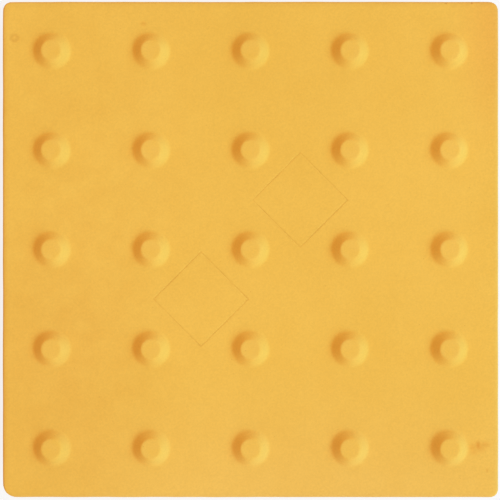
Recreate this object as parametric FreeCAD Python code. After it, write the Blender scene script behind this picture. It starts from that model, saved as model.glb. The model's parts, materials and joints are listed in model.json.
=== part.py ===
"""Square tactile paving slab: one concrete casting with a grid of flat-topped warning studs on its face.

The origin is the middle of the bed face, +Z is up through the walking face, and X and Y run along the sides.
"""

import math
import os

import FreeCAD
import Part

# Driving dimensions, in millimetres.
slab_side = 300.0
slab_thickness = 60.0
corner_radius = 5.0
face_arris_radius = 1.5
bed_arris_radius = 1.0

stud_pitch = 60.0
stud_base_diameter = 22.0
stud_top_diameter = 12.0
stud_height = 5.0
stud_crown_radius = 2.0
stud_foot_radius = 3.0

# How closely an edge has to lie to a height or a radius to be the one that is meant.
match_tolerance = 1e-4

face_height = slab_thickness
stud_top_height = face_height + stud_height
whole_pitches = slab_side / stud_pitch + match_tolerance
studs_per_side = math.floor(whole_pitches)


def close(value, wanted):
    """True where two lengths are the same."""
    return abs(value - wanted) < match_tolerance


def upright_edges(solid):
    """The straight edges that stand parallel to Z."""
    return [edge for edge in solid.Edges if close(edge.BoundBox.ZLength, edge.Length)]


def level_edges(solid, height):
    """The edges that lie flat at one height."""
    return [
        edge
        for edge in solid.Edges
        if close(edge.BoundBox.ZMin, height) and close(edge.BoundBox.ZMax, height)
    ]


def plain_slab():
    """The square block with its rounded corners and eased edges, before the studs are on it."""
    lowest_corner = FreeCAD.Vector(-slab_side / 2, -slab_side / 2, 0)
    block = Part.makeBox(slab_side, slab_side, slab_thickness, lowest_corner)
    block = block.makeFillet(corner_radius, upright_edges(block))
    block = block.makeFillet(face_arris_radius, level_edges(block, face_height))
    return block.makeFillet(bed_arris_radius, level_edges(block, 0))


def stud_centres():
    """The middles of the studs on the face, in rows at one pitch about the slab's own middle."""
    first = -stud_pitch * (studs_per_side - 1) / 2
    steps = [first + stud_pitch * index for index in range(studs_per_side)]
    return [FreeCAD.Vector(x, y, face_height) for y in steps for x in steps]


def plain_stud(centre):
    """One truncated cone, with its foot on the face."""
    return Part.makeCone(stud_base_diameter / 2, stud_top_diameter / 2, stud_height, centre)


def ring_edges(solid, height, diameter):
    """The full circles of one diameter at one height."""
    return [edge for edge in level_edges(solid, height) if close(edge.Length, math.pi * diameter)]


def studded_slab():
    """The whole casting: each stud grows out of the face with a cove at its foot and a rounded crown."""
    studs = [plain_stud(centre) for centre in stud_centres()]
    casting = plain_slab().multiFuse(studs)
    feet = ring_edges(casting, face_height, stud_base_diameter)
    casting = casting.makeFillet(stud_foot_radius, feet)
    crowns = ring_edges(casting, stud_top_height, stud_top_diameter)
    return casting.makeFillet(stud_crown_radius, crowns)


os.makedirs("parts", exist_ok=True)
studded_slab().exportStep("parts/slab.step")
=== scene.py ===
"""Looks of the tactile paving slab: a fine mesh of the casting, its yellow concrete and a plain studio.

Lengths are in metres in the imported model's frame: the slab lies on Z = 0 with its studs up.
"""

import json
import math
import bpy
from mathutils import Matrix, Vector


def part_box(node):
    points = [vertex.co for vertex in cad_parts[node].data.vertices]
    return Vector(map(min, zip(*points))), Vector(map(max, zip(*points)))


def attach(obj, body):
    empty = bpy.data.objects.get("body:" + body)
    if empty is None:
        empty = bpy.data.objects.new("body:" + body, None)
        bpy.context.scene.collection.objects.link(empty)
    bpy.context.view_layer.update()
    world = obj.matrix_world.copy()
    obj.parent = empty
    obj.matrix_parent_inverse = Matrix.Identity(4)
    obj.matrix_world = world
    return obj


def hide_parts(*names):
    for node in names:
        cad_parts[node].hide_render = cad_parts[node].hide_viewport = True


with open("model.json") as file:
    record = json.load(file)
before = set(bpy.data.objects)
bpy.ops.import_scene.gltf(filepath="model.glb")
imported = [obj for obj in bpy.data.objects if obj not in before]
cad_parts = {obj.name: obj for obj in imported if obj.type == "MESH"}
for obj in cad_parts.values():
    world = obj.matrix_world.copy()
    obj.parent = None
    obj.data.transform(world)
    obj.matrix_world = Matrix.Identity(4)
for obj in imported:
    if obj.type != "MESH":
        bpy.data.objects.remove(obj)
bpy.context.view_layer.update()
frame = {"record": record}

from types import SimpleNamespace

import bmesh
import bpy
import numpy as np
from mathutils import Vector

MM = 0.001

# Sizes of the casting, as its solid has them.
slab_low, slab_high = (np.array(corner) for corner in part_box("slab"))
half_side = (slab_high[0] - slab_low[0]) / 2
stud_pitch = 60 * MM
stud_height = 5 * MM
stud_base_radius = 11 * MM
stud_top_radius = 6 * MM
stud_crown_radius = 2 * MM
stud_foot_radius = 3 * MM
face_arris = 1.5 * MM
bed_arris = 1 * MM

# What follows from those sizes.
face_height = slab_high[2] - stud_height
studs_per_side = round(2 * half_side / stud_pitch)
stud_slope = math.atan2(stud_height, stud_base_radius - stud_top_radius)
top_edge_radius = stud_top_radius - stud_crown_radius * math.tan(stud_slope / 2)
foot_edge_radius = stud_base_radius + stud_foot_radius * math.tan(stud_slope / 2)
studs_reach = stud_pitch * (studs_per_side - 1) / 2 + foot_edge_radius

# The corners of the plan as they came out of the mould: front left, front right, back left, back right.
corner_radii = np.array([8.5, 5, 5.5, 5.5]) * MM

# Two blank square panels stand on a corner between four studs each, outlined by a fine groove.
panel_side = 40.5 * MM
panel_middles = np.array([(-1, -1), (1, 1)]) * stud_pitch / 2
panel_headings = np.array([1, 3, 5, 7]) * math.pi / 4

# The groove's size, the lines along it that get edges, and the share of its depth that wear leaves.
groove_half_width = 0.4 * MM
groove_depth = 0.25 * MM
groove_lines = np.array([-2, -1, 0, 1, 2]) * groove_half_width
worn_groove_share = 0.45
groove_wavelength = 14 * MM
groove_seed = 17

# Hollows in the face: X, Y, radius and depth in millimetres. The first is a ring round a standing middle.
face_hollows = [(-142.7, 127.9, 3, 0.2), (118, 149.2, 1.3, 0.35), (133.5, 149.2, 1.1, 0.35)]
ring_hollows = 1

# The section of a ring is deepest two thirds of the way out, and this makes it 1 there.
ring_gain = 27 / 4

# Air holes that casting leaves in the sides and the bed, placed by shares of the half side and the height.
side_holes = 36
bed_holes = 14
hole_reach = 0.93
hole_levels = (0.12, 0.88)
hole_radii = (0.45 * MM, 1.2 * MM)
hole_steepness = 0.5
hole_seed = 21

# How finely the casting is meshed: steps round an eighth of a stud, and rings along its section.
octant_steps = 9
top_rings = 4
crown_rings = 6
flank_rings = 4
foot_rings = 7
run_rings = 8
arris_rings = 6
side_rings = 26

# Near a hollow, edges longer than this share of its radius are halved, so many times at most.
hollow_edge_share = 0.5
most_halvings = 4

# Points this close are welded, lengths under the tiny one count as none, and ticks have so many decimals.
weld_distance = 0.001 * MM
tiny = 1e-9
tick_decimals = 9

# How far the cast surfaces stray inwards, over what distance, and the seed of each.
face_stray = {"depth": 0.12 * MM, "wavelength": 45 * MM, "seed": 3}
side_stray = {"depth": 0.35 * MM, "wavelength": 30 * MM, "seed": 5}
rough_stray = {"depth": 0.12 * MM, "wavelength": 7 * MM, "seed": 8}
arris_stray = {"depth": 0.3 * MM, "wavelength": 13 * MM, "seed": 13}

# Soft noise: the waves that it adds up, the range of their lengths, and how many deviations fill 0 to 1.
noise_waves = 40
wave_shares = (0.7, 1.4)
noise_deviations = 4

# How deep a hollow is where its painted shade is darkest, how far the darker, greyer tint reaches from an
# edge, and how fast wear fades downwards.
full_shade_depth = 0.35 * MM
edge_tint_reach = 2.2 * MM
wear_power = 3

# The concrete: its colour from the record, a little fresher under the darker layers that go over it.
record_colour = np.array(frame["record"]["materials"][0]["base_color"])
fresh_gain = 1.07
fresh_colour = (*(record_colour * fresh_gain), 1)

# Sizes of the patterns in the concrete.
cloud_size = 90 * MM
mottle_size = 11 * MM
smear_size = 3 * MM
rub_size = 5 * MM
dust_size = 16 * MM
grain_size = 1.1 * MM
coarse_size = 3 * MM
sand_size = 1.7 * MM
pinhole_spacing = 7 * MM
pinhole_radius = 0.27 * MM
side_pinhole_radius = 0.7 * MM

# The values of its field at which each pattern starts and is full.
noise_range = (0.3, 0.7)
blotch_range = (0.35, 0.65)
rub_range = (0.35, 0.6)
smear_range = (0.25, 0.6)
dark_sand_range = (0.7, 1.0)
pale_sand_range = (0.3, 0.0)
pinhole_range = (1.0, 0.6)

# What is left of the mottling away from its spot, and of a stain where its smear is thinnest.
least_mottling = 0.25
least_smear = 0.6

# What each layer multiplies the colour by where it is full.
cloud_tint = (0.962, 0.945, 0.87, 1)
mottle_tint = (0.97, 0.94, 0.92, 1)
band_tint = (0.985, 0.955, 0.98, 1)
orange_tint = (0.97, 0.87, 0.87, 1)
pale_tint = (1.0, 1.01, 1.25, 1)
stain_tint = (0.875, 0.62, 0.42, 1)
grain_tint = (0.93, 0.92, 0.91, 1)
# Painted shade: darker in the pinholes, and in the hollows and grooves the deeper they go.
hollow_shade_tint = (0.82, 0.68, 0.62, 1)
worn_tint = (1.0, 1.01, 1.1, 1)
# Painted light: a cooler, paler tint half-way up the stud flanks that stands in for how light falls on
# them.
flank_light_tint = (0.965, 1.0, 1.08, 1)
# Darker and greyer within a couple of millimetres of every edge of the block.
edge_tint = (0.91, 0.905, 1.08, 1)
dust_tint = (0.98, 0.95, 1.05, 1)
dark_sand_tint = (0.9, 0.81, 0.75, 1)
pale_sand_tint = (1.03, 1.02, 1.2, 1)

# Soft spots on the face: middle and reach in X and Y, in millimetres, and how strong each stain is.
mottled_spot = (-105, 0, 95, 230)
dark_band_spot = (-120, -75, 85, 125)
orange_corner_spot = (150, 135, 34, 95)
pale_front_spot = (50, -165, 270, 110)
stain_spots = {
    (137.7, -118.6, 2.8, 4.6): 1.0,
    (134.6, -119.6, 4.0, 4.0): 0.55,
    (141.6, -118.0, 5.5, 3.4): 0.5,
    (135.4, -122.0, 5.0, 3.4): 0.4,
    (138.0, -119.2, 8.0, 5.5): 0.5,
    (-64.7, 136.4, 3.0, 2.6): 0.5,
    (143.0, -133.6, 1.2, 2.0): 0.5,
}
spot_depth = 8 * MM

# The finish: how rough it is, how much it shines, and how far each kind of relief stands out.
roughness_range = (0.8, 0.92)
shine = 0.2
relief_strength = 0.5
relief_depth = 0.06 * MM
coarse_relief = 4.0
sand_relief = -2.0
pinhole_relief = -3.0

# Places of the colour mix node's sockets.
mix_factor, mix_first, mix_second, mix_result = 0, 6, 7, 2

# The studio: a long cool soft box on the right, set a little to the front, and warm light from all round.
# On the flat face the two add up to white.
key_share = (0.17, 0.41, 0.58)
key_distance = 5.0
key_width = 1.8
key_length = 8.0
key_samples = 21
key_bearing = math.radians(-18)
key_elevation = math.radians(37)

# How much stronger the warm light is from the front and the back, and weaker from the left and the right.
fill_bias = 0.5

# The floor, just under the bed, and how much of its own shading shows. It and the sky are seen as white.
floor_half = 4.0
floor_drop = 0.05 * MM
floor_albedo = 0.8
floor_shadow_share = 0.2
white = (1, 1, 1, 1)

# The photo's view, straight down from about a metre: the slab fills the frame, a little up and right.
frame_width = 302.2 * MM
view_lens = 110.0
view_shift_right = 0.3 * MM
view_shift_up = 0.3 * MM


def edge_spacing(share):
    """Places from -1 to 1 along the side of a square that close up towards its corners."""
    return (share + np.sin(share * math.pi / 2)) / 2


def cell_turns():
    """The headings from a stud's middle, evenly round it."""
    count = 8 * octant_steps
    return np.arange(count) * 2 * math.pi / count


def unit_circle():
    """Points round a circle of radius 1."""
    turns = cell_turns()
    return np.column_stack([np.cos(turns), np.sin(turns)])


def unit_square():
    """As many points round a square of half-size 1."""
    turns = cell_turns()
    quarters = np.round(turns / (math.pi / 2)) * math.pi / 2
    along = edge_spacing((turns - quarters) / (math.pi / 4))
    across = np.cos(quarters) - along * np.sin(quarters)
    up = np.sin(quarters) + along * np.cos(quarters)
    return np.column_stack([across, up])


def side_ticks():
    """Places along one side of the slab, from -1 to 1, that meet the edges of the stud squares."""
    middles = (np.arange(studs_per_side) * 2 + 1) / studs_per_side - 1
    steps = edge_spacing(np.linspace(-1, 1, 2 * octant_steps + 1)) / studs_per_side
    return np.unique(np.round(middles[:, None] + steps, tick_decimals))


def unit_perimeter():
    """Points round the whole slab, as a square of half-size 1."""
    ticks = side_ticks()[:-1]
    ones = np.ones_like(ticks)
    sides = [(ticks, -ones), (ones, ticks), (-ticks, ones), (-ones, -ticks)]
    return np.concatenate([np.column_stack(side) for side in sides])


def corner_radius_near(flat):
    """The plan radius of the corner nearest to each point."""
    return corner_radii[(flat[:, 0] > 0) + 2 * (flat[:, 1] > 0)]


def on_rounded_square(unit, half, rounding):
    """Points of a unit square put on squares of these half-sizes, with corners of these radii."""
    spot = unit * half[:, None]
    core = np.broadcast_to((half - rounding)[:, None], spot.shape)
    past = np.maximum(np.abs(spot) - core, 0)
    reach = np.hypot(past[:, 0], past[:, 1])
    in_corner = (past > tiny).all(axis=1)
    pull = np.where(in_corner, rounding / np.maximum(reach, tiny), 1)
    return np.sign(spot) * (np.minimum(np.abs(spot), core) + past * pull[:, None])


def at_height(flat, height):
    """Plan points stood at one height."""
    return np.column_stack([flat, np.full(len(flat), height)])


def stud_profile():
    """Radius and height of each ring down a stud: flat top, round crown, straight flank and coved foot."""
    top = [(top_edge_radius * share, stud_height) for share in np.linspace(0, 1, top_rings)[:-1]]
    crown = [
        (
            top_edge_radius + stud_crown_radius * math.sin(turn),
            stud_height - stud_crown_radius * (1 - math.cos(turn)),
        )
        for turn in np.linspace(0, stud_slope, crown_rings)
    ]
    foot = [
        (
            foot_edge_radius - stud_foot_radius * math.sin(turn),
            stud_foot_radius * (1 - math.cos(turn)),
        )
        for turn in np.linspace(stud_slope, 0, foot_rings)
    ]
    flank = np.linspace(crown[-1], foot[0], flank_rings)[1:-1]
    return np.concatenate([top, crown, flank, foot])


def stud_square_rings():
    """Rings of one stud's square of the face, from the stud's middle out to the square's edge."""
    circle = unit_circle()
    rings = [at_height(circle * radius, face_height + height) for radius, height in stud_profile()]
    foot = circle * foot_edge_radius
    edge = unit_square() * stud_pitch / 2
    shares = np.linspace(0, 1, run_rings)[1:]
    return rings + [at_height(foot + (edge - foot) * share, face_height) for share in shares]


def fitted_to_face(points):
    """The stud squares, with the outermost drawn in to the flat face inside its arris and corners."""
    flat = points[:, :2]
    ring = np.maximum(np.abs(flat).max(axis=1), tiny)
    share = np.clip((ring - studs_reach) / (half_side - studs_reach), 0, 1)
    rounding = share * (corner_radius_near(flat) - face_arris)
    drawn_in = on_rounded_square(flat / ring[:, None], ring - share * face_arris, rounding)
    return np.column_stack([drawn_in, points[:, 2]])


def rim_section():
    """Inset and height of each ring over the face's arris, down the sides and round the bed's arris."""
    quarter = np.linspace(0, math.pi / 2, arris_rings)
    over_face_arris = [
        (face_arris * (1 - math.sin(turn)), face_height - face_arris * (1 - math.cos(turn)))
        for turn in quarter
    ]
    side_heights = np.linspace(face_height - face_arris, bed_arris, side_rings)[1:-1]
    down_side = [(0, height) for height in side_heights]
    round_bed_arris = [
        (bed_arris * (1 - math.cos(turn)), bed_arris * (1 - math.sin(turn)))
        for turn in quarter
    ]
    return over_face_arris + down_side + round_bed_arris


def rim_rings():
    """Rings round the slab from the edge of its face to the edge of its bed."""
    unit = unit_perimeter()
    radii = corner_radius_near(unit)
    rings = []
    for inset, height in rim_section():
        half = np.full(len(unit), half_side - inset)
        rings.append(at_height(on_rounded_square(unit, half, radii - inset), height))
    return rings


def strip(rings):
    """Points and quads of a strip through closed rings of as many points each."""
    count = len(rings[0])
    here = np.arange(count)
    onward = np.roll(here, -1)
    starts = np.arange(len(rings) - 1) * count
    quads = [
        np.column_stack([start + here, start + onward, start + count + onward, start + count + here])
        for start in starts
    ]
    return np.concatenate(rings), np.concatenate(quads)


def face_patches():
    """One strip for each stud's square of the face."""
    points, quads = strip(stud_square_rings())
    places = (np.arange(studs_per_side) - (studs_per_side - 1) / 2) * stud_pitch
    return [(fitted_to_face(points + (x, y, 0)), quads) for y in places for x in places]


def bed_patch():
    """A grid over the bed face that meets the lowest ring of the rim."""
    ticks = side_ticks()
    count = len(ticks)
    unit = np.column_stack([axis.ravel() for axis in np.meshgrid(ticks, ticks)])
    ring = np.maximum(np.abs(unit).max(axis=1), tiny)
    rounding = ring * (corner_radius_near(unit) - bed_arris)
    flat = on_rounded_square(unit / ring[:, None], ring * (half_side - bed_arris), rounding)
    first = (np.arange(count - 1)[:, None] * count + np.arange(count - 1)).ravel()
    quads = np.column_stack([first, first + 1, first + count + 1, first + count])
    return at_height(flat, 0), quads


def joined(patches):
    """All patches as one list of points and one of quads."""
    starts = np.cumsum([0] + [len(points) for points, quads in patches[:-1]])
    points = np.concatenate([points for points, quads in patches])
    quads = np.concatenate([quads + start for start, (points_here, quads) in zip(starts, patches)])
    return points, quads


def soft_noise(points, wavelength, seed):
    """A smooth field from 0 to 1 that rises and falls about once in a wavelength."""
    draw = np.random.RandomState(seed)
    headings = draw.normal(size=(noise_waves, 3))
    headings /= np.linalg.norm(headings, axis=1)[:, None]
    lengths = wavelength * draw.uniform(*wave_shares, noise_waves)
    starts = draw.uniform(0, 2 * math.pi, noise_waves)
    waves = np.sin(points @ (2 * math.pi * headings / lengths[:, None]).T + starts)
    deviation = waves.sum(axis=1) / math.sqrt(noise_waves / 2)
    return np.clip(0.5 + deviation / noise_deviations, 0, 1)


def hollows():
    """Middle, radius, depth and ring mark of each hollow: those of the face, then the air holes."""
    draw = np.random.RandomState(hole_seed)
    along = draw.uniform(-hole_reach, hole_reach, side_holes) * half_side
    height = draw.uniform(*hole_levels, side_holes) * face_height
    quarter = draw.randint(0, 4, side_holes) * math.pi / 2
    across = half_side * np.cos(quarter) - along * np.sin(quarter)
    up = half_side * np.sin(quarter) + along * np.cos(quarter)
    in_sides = np.column_stack([across, up, height])
    in_bed = at_height(draw.uniform(-hole_reach, hole_reach, (bed_holes, 2)) * half_side, 0)
    face = np.array(face_hollows) * MM
    middles = np.concatenate([at_height(face[:, :2], face_height), in_sides, in_bed])
    holes = draw.uniform(*hole_radii, side_holes + bed_holes)
    radii = np.concatenate([face[:, 2], holes])
    depths = np.concatenate([face[:, 3], holes * hole_steepness])
    return middles, radii, depths, np.arange(len(radii)) < ring_hollows


def hollow_depth(points):
    """How deep each point lies in a hollow."""
    deepest = np.zeros(len(points))
    for middle, radius, depth, is_ring in zip(*hollows()):
        out = np.minimum(np.linalg.norm(points - middle, axis=1) / radius, 1)
        bowl = (1 - out**2) ** 2
        ring = ring_gain * out**2 * (1 - out)
        deepest = np.maximum(deepest, depth * (ring if is_ring else bowl))
    return deepest


def groove_depths(points):
    """How deep each point lies in a panel's groove, which is worn away in places."""
    on_face = np.abs(points[:, 2] - face_height) < weld_distance
    share = np.zeros(len(points))
    for middle in panel_middles:
        sum_of_sides = np.abs(points[:, :2] - middle).sum(axis=1)
        gap = np.abs(sum_of_sides - panel_side / math.sqrt(2)) / math.sqrt(2)
        share = np.maximum(share, 1 - gap / groove_half_width)
    unworn = soft_noise(points, groove_wavelength, groove_seed)
    left = worn_groove_share + (1 - worn_groove_share) * unworn
    return groove_depth * share * left * on_face


def edge_gap(points):
    """How far each point is from the nearest edge of the block."""
    to_sides = half_side - np.abs(points[:, :2])
    to_levels = np.minimum(np.abs(face_height - points[:, 2]), points[:, 2])
    return np.sort(np.column_stack([to_sides, to_levels]), axis=1)[:, 1]


def below_face(points):
    """0 on the studded face and 1 on the sides and the bed."""
    return np.clip((face_height - face_arris / 2 - points[:, 2]) / face_arris, 0, 1)


def stud_rise(points):
    """0 on the face and below it, and 1 on the tops of the studs."""
    return np.clip((points[:, 2] - face_height) / stud_height, 0, 1)


def wear_share(points):
    """1 on the tops of the studs, where feet rub, and 0 at their feet."""
    return stud_rise(points) ** wear_power


def flank_light_share(points):
    """1 half-way up the flanks of the studs, which get painted light, and 0 on their tops and on the face.
    """
    rise = stud_rise(points)
    return 4 * rise * (1 - rise)


def stray(points, depth, wavelength, seed):
    """How far each point of a cast surface strays inwards."""
    return depth * soft_noise(points, wavelength, seed)


def cast_depth(points):
    """How far casting leaves each point inside its ideal surface."""
    side = below_face(points)
    face = stray(points, **face_stray)
    wavy = stray(points, **side_stray)
    rough = stray(points, **rough_stray)
    near_edge = np.clip(1 - edge_gap(points) / face_arris, 0, 1)
    ragged = stray(points, **arris_stray) * near_edge
    return face * (1 - side) + (wavy + rough) * side + ragged


def cut_panel_lines(shape):
    """Lay edges along the bottom and the lips of each panel's groove, and just outside them."""
    for middle in panel_middles:
        near = [
            face
            for face in shape.faces
            if all(abs(vert.co.z - face_height) < weld_distance for vert in face.verts)
            and np.abs(np.array(face.calc_center_median())[:2] - middle).max() < stud_pitch / 2
        ]
        edges = dict.fromkeys(edge for face in near for edge in face.edges)
        verts = dict.fromkeys(vert for face in near for vert in face.verts)
        pieces = near + list(edges) + list(verts)
        for heading in panel_headings:
            out = np.array([math.cos(heading), math.sin(heading)])
            for offset in groove_lines:
                spot = middle + out * (panel_side / 2 + offset)
                pieces = bmesh.ops.bisect_plane(
                    shape,
                    geom=pieces,
                    dist=weld_distance,
                    plane_co=Vector((*spot, face_height)),
                    plane_no=Vector((*out, 0)),
                )["geom"]


def refine_near_hollows(shape):
    """Halve the edges near each hollow until they are short enough to shape it."""
    middles, radii = hollows()[:2]
    for halving in range(most_halvings):
        edges = list(shape.edges)
        ends = np.array([[vert.co for vert in edge.verts] for edge in edges])
        halfway = ends.mean(axis=1)
        length = np.linalg.norm(ends[:, 0] - ends[:, 1], axis=1)
        chosen = np.zeros(len(edges), dtype=bool)
        for middle, radius in zip(middles, radii):
            gap = np.linalg.norm(halfway - middle, axis=1) - length / 2
            chosen |= (gap < radius) & (length > radius * hollow_edge_share)
        bmesh.ops.subdivide_edges(
            shape,
            edges=[edges[index] for index in np.flatnonzero(chosen)],
            cuts=1,
            use_grid_fill=True,
            use_single_edge=True,
        )


def split_many_sided(shape):
    """Split the faces of more than four sides into triangles, while they are still flat."""
    many_sided = [face for face in shape.faces if len(face.verts) > 4]
    bmesh.ops.triangulate(shape, faces=many_sided, quad_method="BEAUTY", ngon_method="BEAUTY")


def ideal_mesh():
    """The whole casting as one closed mesh, with its surfaces still ideal."""
    points, quads = joined(face_patches() + [strip(rim_rings()), bed_patch()])
    mesh = bpy.data.meshes.new("slab_casting")
    mesh.from_pydata(points.tolist(), [], quads.tolist())
    shape = bmesh.new()
    shape.from_mesh(mesh)
    bmesh.ops.remove_doubles(shape, verts=shape.verts, dist=weld_distance)
    bmesh.ops.recalc_face_normals(shape, faces=shape.faces)
    cut_panel_lines(shape)
    refine_near_hollows(shape)
    split_many_sided(shape)
    shape.to_mesh(mesh)
    shape.free()
    return mesh


def add_layers(mesh, places, cut):
    """Values from 0 to 1 at each point of the mesh, for its material to read."""
    layers = {
        "wear": wear_share(places),
        # Painted light half-way up the stud flanks.
        "flank_light": flank_light_share(places),
        # 1 at each edge of the block, where the colour is made darker and greyer.
        "edge_closeness": np.clip(1 - edge_gap(places) / edge_tint_reach, 0, 1),
        "side": below_face(places),
        # Painted shade: darker the deeper a point lies in a groove or hollow.
        "hollow_shade": np.clip(cut / full_shade_depth, 0, 1),
    }
    for name, values in layers.items():
        layer = mesh.attributes.new(name, "FLOAT", "POINT")
        layer.data.foreach_set("value", values.astype(np.float32))


def casting_mesh():
    """The casting as it came out of the mould: a little uneven, grooved and pitted."""
    mesh = ideal_mesh()
    places = np.empty(3 * len(mesh.vertices))
    normals = np.empty(3 * len(mesh.vertices))
    mesh.vertices.foreach_get("co", places)
    mesh.vertex_normals.foreach_get("vector", normals)
    places = places.reshape(-1, 3)
    cut = groove_depths(places) + hollow_depth(places)
    add_layers(mesh, places, cut)
    places = places - normals.reshape(-1, 3) * (cast_depth(places) + cut)[:, None]
    mesh.vertices.foreach_set("co", places.ravel())
    mesh.polygons.foreach_set("use_smooth", np.ones(len(mesh.polygons), dtype=bool))
    mesh.update()
    return mesh


def add_node(tree, kind, inputs=None, **settings):
    """A new shader node, with its settings made and its inputs set or linked."""
    node = tree.nodes.new(kind)
    for name, value in settings.items():
        setattr(node, name, value)
    for key, value in (inputs or {}).items():
        if isinstance(value, bpy.types.NodeSocket):
            tree.links.new(value, node.inputs[key])
        else:
            node.inputs[key].default_value = value
    return node


def sum_up(tree, operation, *values):
    """The result of one sum on sockets or numbers."""
    return add_node(tree, "ShaderNodeMath", dict(enumerate(values)), operation=operation).outputs[0]


def ramp(tree, field, low, high, start=0.0, end=1.0):
    """A field that runs from start at low to end at high, and no further."""
    steps = {"Value": field, "From Min": low, "From Max": high, "To Min": start, "To Max": end}
    return add_node(tree, "ShaderNodeMapRange", steps).outputs["Result"]


def noise(tree, place, size, detail):
    """A noise field, mostly from 0.3 to 0.7, whose features are about this size."""
    node = add_node(tree, "ShaderNodeTexNoise", {"Vector": place, "Scale": 1 / size, "Detail": detail})
    return node.outputs["Fac"]


def mesh_layer(tree, name):
    """A value that the mesh holds at its points."""
    return add_node(tree, "ShaderNodeAttribute", attribute_name=name).outputs["Fac"]


def soft_spot(tree, place, spot):
    """1 in the middle of a soft spot on the face, falling to 0 at its reach."""
    x, y, reach_x, reach_y = (value * MM for value in spot)
    inputs = {0: place, 1: (x, y, face_height)}
    offset = add_node(tree, "ShaderNodeVectorMath", inputs, operation="SUBTRACT").outputs["Vector"]
    inputs = {0: offset, 1: (reach_x, reach_y, spot_depth)}
    shares = add_node(tree, "ShaderNodeVectorMath", inputs, operation="DIVIDE").outputs["Vector"]
    out = add_node(tree, "ShaderNodeVectorMath", {0: shares}, operation="LENGTH").outputs["Value"]
    return add_node(
        tree,
        "ShaderNodeMapRange",
        {"Value": out, "From Min": 1.0, "From Max": 0.0},
        interpolation_type="SMOOTHSTEP",
    ).outputs["Result"]


def stains(tree, place):
    """The stained spots, uneven like a smear."""
    strongest = 0.0
    for spot, strength in stain_spots.items():
        share = sum_up(tree, "MULTIPLY", soft_spot(tree, place, spot), strength)
        strongest = sum_up(tree, "MAXIMUM", strongest, share)
    smear = ramp(tree, noise(tree, place, smear_size, detail=2), *smear_range, start=least_smear)
    return sum_up(tree, "MULTIPLY", strongest, smear)


def pinholes(tree, place, side):
    """1 in the pinholes, which are wider on the sides and the bed."""
    cells = add_node(tree, "ShaderNodeTexVoronoi", {"Vector": place, "Scale": 1 / pinhole_spacing})
    reaches = [radius / pinhole_spacing for radius in (pinhole_radius, side_pinhole_radius)]
    reach = ramp(tree, side, 0, 1, *reaches)
    share = sum_up(tree, "DIVIDE", cells.outputs["Distance"], reach)
    return ramp(tree, share, *pinhole_range)


def sand_grains(tree, place):
    """A random value from 0 to 1 for each grain of sand, and the distance from its middle."""
    cells = add_node(tree, "ShaderNodeTexVoronoi", {"Vector": place, "Scale": 1 / sand_size})
    kinds = add_node(tree, "ShaderNodeSeparateColor", {"Color": cells.outputs["Color"]})
    return kinds.outputs["Red"], cells.outputs["Distance"]


def tinted(tree, colour, tint, amount):
    """A colour multiplied by a tint to the given amount."""
    inputs = {mix_factor: amount, mix_first: colour, mix_second: tint}
    node = add_node(tree, "ShaderNodeMix", inputs, data_type="RGBA", blend_type="MULTIPLY")
    return node.outputs[mix_result]


def concrete_patterns(tree):
    """The place on the slab, and the patterns that its colour and its relief share."""
    place = add_node(tree, "ShaderNodeTexCoord").outputs["Object"]
    side = mesh_layer(tree, "side")
    sand, off_grain = sand_grains(tree, place)
    return SimpleNamespace(
        place=place,
        side=side,
        grain=noise(tree, place, grain_size, detail=2),
        mottle=noise(tree, place, mottle_size, detail=3),
        sand=sand,
        off_grain=off_grain,
        holes=pinholes(tree, place, side),
    )


def concrete_colour(tree, pattern):
    """The fresh colour under each layer that darkens it or makes it paler."""
    place, side = pattern.place, pattern.side
    clouds = ramp(tree, noise(tree, place, cloud_size, detail=2), *noise_range)
    blotches = ramp(tree, pattern.mottle, *blotch_range)
    mottled = ramp(tree, soft_spot(tree, place, mottled_spot), 0, 1, start=least_mottling)
    rubbed = ramp(tree, noise(tree, place, rub_size, detail=3), *rub_range)
    dusty = ramp(tree, noise(tree, place, dust_size, detail=4), *noise_range)
    layers = [
        (cloud_tint, clouds),
        (mottle_tint, sum_up(tree, "MULTIPLY", blotches, mottled)),
        (band_tint, soft_spot(tree, place, dark_band_spot)),
        (orange_tint, soft_spot(tree, place, orange_corner_spot)),
        (pale_tint, soft_spot(tree, place, pale_front_spot)),
        (stain_tint, stains(tree, place)),
        (grain_tint, ramp(tree, pattern.grain, *noise_range)),
        # Painted shade in the pinholes, hollows and grooves.
        (hollow_shade_tint, sum_up(tree, "MAXIMUM", pattern.holes, mesh_layer(tree, "hollow_shade"))),
        (worn_tint, sum_up(tree, "MULTIPLY", mesh_layer(tree, "wear"), rubbed)),
        # Painted light on the stud flanks.
        (flank_light_tint, mesh_layer(tree, "flank_light")),
        # Darker and greyer near the edges of the block.
        (edge_tint, mesh_layer(tree, "edge_closeness")),
        (dust_tint, sum_up(tree, "MULTIPLY", side, dusty)),
        (dark_sand_tint, sum_up(tree, "MULTIPLY", side, ramp(tree, pattern.sand, *dark_sand_range))),
        (pale_sand_tint, sum_up(tree, "MULTIPLY", side, ramp(tree, pattern.sand, *pale_sand_range))),
    ]
    colour = fresh_colour
    for tint, amount in layers:
        colour = tinted(tree, colour, tint, amount)
    return colour


def concrete_relief(tree, pattern):
    """Fine grain and pinholes all over, and coarse bumps and sand on the sides and the bed."""
    coarse = sum_up(tree, "MULTIPLY", noise(tree, pattern.place, coarse_size, detail=3), coarse_relief)
    coarse = sum_up(tree, "MULTIPLY_ADD", pattern.off_grain, sand_relief, coarse)
    relief = sum_up(tree, "MULTIPLY_ADD", coarse, pattern.side, pattern.grain)
    relief = sum_up(tree, "MULTIPLY_ADD", pattern.holes, pinhole_relief, relief)
    inputs = {"Height": relief, "Strength": relief_strength, "Distance": relief_depth}
    return add_node(tree, "ShaderNodeBump", inputs).outputs["Normal"]


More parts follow.
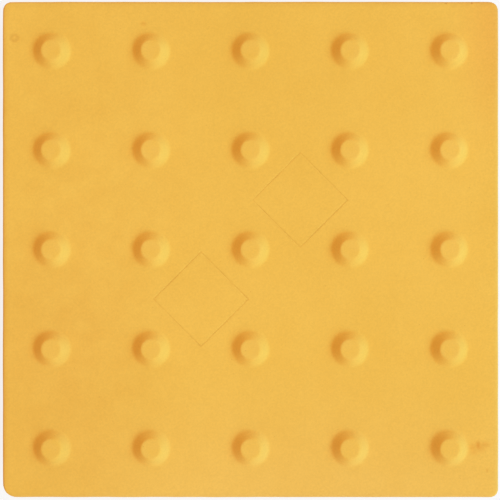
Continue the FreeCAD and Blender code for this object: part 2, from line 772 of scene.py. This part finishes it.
def make_concrete():
    """Yellow concrete, coloured right through, smooth and matt, with the marks of casting and use, painted
    shade in its hollows, painted light on its stud flanks and a darker tint near its edges.
    """
    material = bpy.data.materials.new("yellow_concrete")
    material.use_nodes = True
    tree = material.node_tree
    pattern = concrete_patterns(tree)
    surface = tree.nodes["Principled BSDF"]
    surface.inputs["Specular IOR Level"].default_value = shine
    roughness = ramp(tree, pattern.mottle, *noise_range, *roughness_range)
    tree.links.new(roughness, surface.inputs["Roughness"])
    tree.links.new(concrete_colour(tree, pattern), surface.inputs["Base Color"])
    tree.links.new(concrete_relief(tree, pattern), surface.inputs["Normal"])
    return material


def make_slab():
    """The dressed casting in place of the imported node."""
    slab = bpy.data.objects.new("slab_casting", casting_mesh())
    slab.data.materials.append(make_concrete())
    bpy.context.scene.collection.objects.link(slab)
    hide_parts("slab")
    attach(slab, "root")


def background_rays(tree):
    """1 for the rays that should see a white background, and 0 for those that carry light."""
    path = add_node(tree, "ShaderNodeLightPath")
    seen = path.outputs["Is Camera Ray"]
    for name in ("Is Glossy Ray", "Is Transmission Ray"):
        seen = sum_up(tree, "MAXIMUM", seen, path.outputs[name])
    return seen


def fill_strength(tree):
    """The strength of the warm light from each heading, which averages 1 over the sky above the face."""
    heading = add_node(tree, "ShaderNodeTexCoord").outputs["Generated"]
    axes = add_node(tree, "ShaderNodeSeparateXYZ", {"Vector": heading}).outputs
    across, along = (sum_up(tree, "MULTIPLY", axes[axis], axes[axis]) for axis in "XY")
    return sum_up(tree, "MULTIPLY_ADD", sum_up(tree, "SUBTRACT", along, across), fill_bias, 1.0)


def make_world():
    """Warm light from all round, seen as white."""
    world = bpy.data.worlds.new("studio")
    bpy.context.scene.world = world
    world.use_nodes = True
    tree = world.node_tree
    tree.nodes.clear()
    fill_share = [1 - share for share in key_share]
    warm = {"Color": (*fill_share, 1), "Strength": fill_strength(tree)}
    fill = add_node(tree, "ShaderNodeBackground", warm)
    backdrop = add_node(tree, "ShaderNodeBackground", {"Color": white, "Strength": 1})
    shaders = {"Fac": background_rays(tree), 1: fill.outputs[0], 2: backdrop.outputs[0]}
    mix = add_node(tree, "ShaderNodeMixShader", shaders)
    add_node(tree, "ShaderNodeOutputWorld", {"Surface": mix.outputs[0]})


def make_floor_material():
    """A pale matt floor that is seen as white and keeps a faint shadow."""
    material = bpy.data.materials.new("pale_floor")
    material.use_nodes = True
    tree = material.node_tree
    tree.nodes.clear()
    grey = (floor_albedo, floor_albedo, floor_albedo, 1)
    pale = add_node(tree, "ShaderNodeBsdfDiffuse", {"Color": grey})
    backdrop = add_node(tree, "ShaderNodeEmission", {"Color": white, "Strength": 1})
    share = sum_up(tree, "MULTIPLY", background_rays(tree), 1 - floor_shadow_share)
    shaders = {"Fac": share, 1: pale.outputs[0], 2: backdrop.outputs[0]}
    mix = add_node(tree, "ShaderNodeMixShader", shaders)
    add_node(tree, "ShaderNodeOutputMaterial", {"Surface": mix.outputs[0]})
    return material


def make_floor():
    """A plain floor just under the slab."""
    corners = [(-1, -1), (1, -1), (1, 1), (-1, 1)]
    mesh = bpy.data.meshes.new("floor")
    mesh.from_pydata([(x * floor_half, y * floor_half, -floor_drop) for x, y in corners], [], [range(4)])
    mesh.materials.append(make_floor_material())
    floor = bpy.data.objects.new("floor", mesh)
    bpy.context.scene.collection.objects.link(floor)


def key_energy():
    """The watts at which a white soft box would give the middle of the face all its light."""
    along = np.linspace(-0.5, 0.5, key_samples) * key_length
    reach = np.hypot(key_distance, along)
    per_watt = math.sin(key_elevation) * np.mean((key_distance / reach**2) ** 2) / math.pi
    return math.pi / per_watt


def make_key_light():
    """A long soft box that faces the slab and gives its share of each colour."""
    lamp = bpy.data.lights.new("key", "AREA")
    lamp.shape = "RECTANGLE"
    lamp.size = key_length
    lamp.size_y = key_width
    lamp.color = key_share
    lamp.energy = key_energy()
    key = bpy.data.objects.new("key", lamp)
    level = math.cos(key_elevation)
    heading = np.array(
        [level * math.cos(key_bearing), level * math.sin(key_bearing), math.sin(key_elevation)]
    )
    key.location = heading * key_distance + (0, 0, face_height)
    key.rotation_euler = (math.pi / 2 - key_elevation, 0, key_bearing + math.pi / 2)
    bpy.context.scene.collection.objects.link(key)


def make_camera():
    """A camera that looks straight down on the face."""
    data = bpy.data.cameras.new("photo_view")
    data.lens = view_lens
    camera = bpy.data.objects.new("photo_view", data)
    height = frame_width * view_lens / data.sensor_width
    camera.location = (-view_shift_right, -view_shift_up, face_height + height)
    bpy.context.scene.collection.objects.link(camera)
    bpy.context.scene.camera = camera


make_slab()
make_world()
make_floor()
make_key_light()
make_camera()
bpy.context.scene.view_settings.view_transform = "Standard"
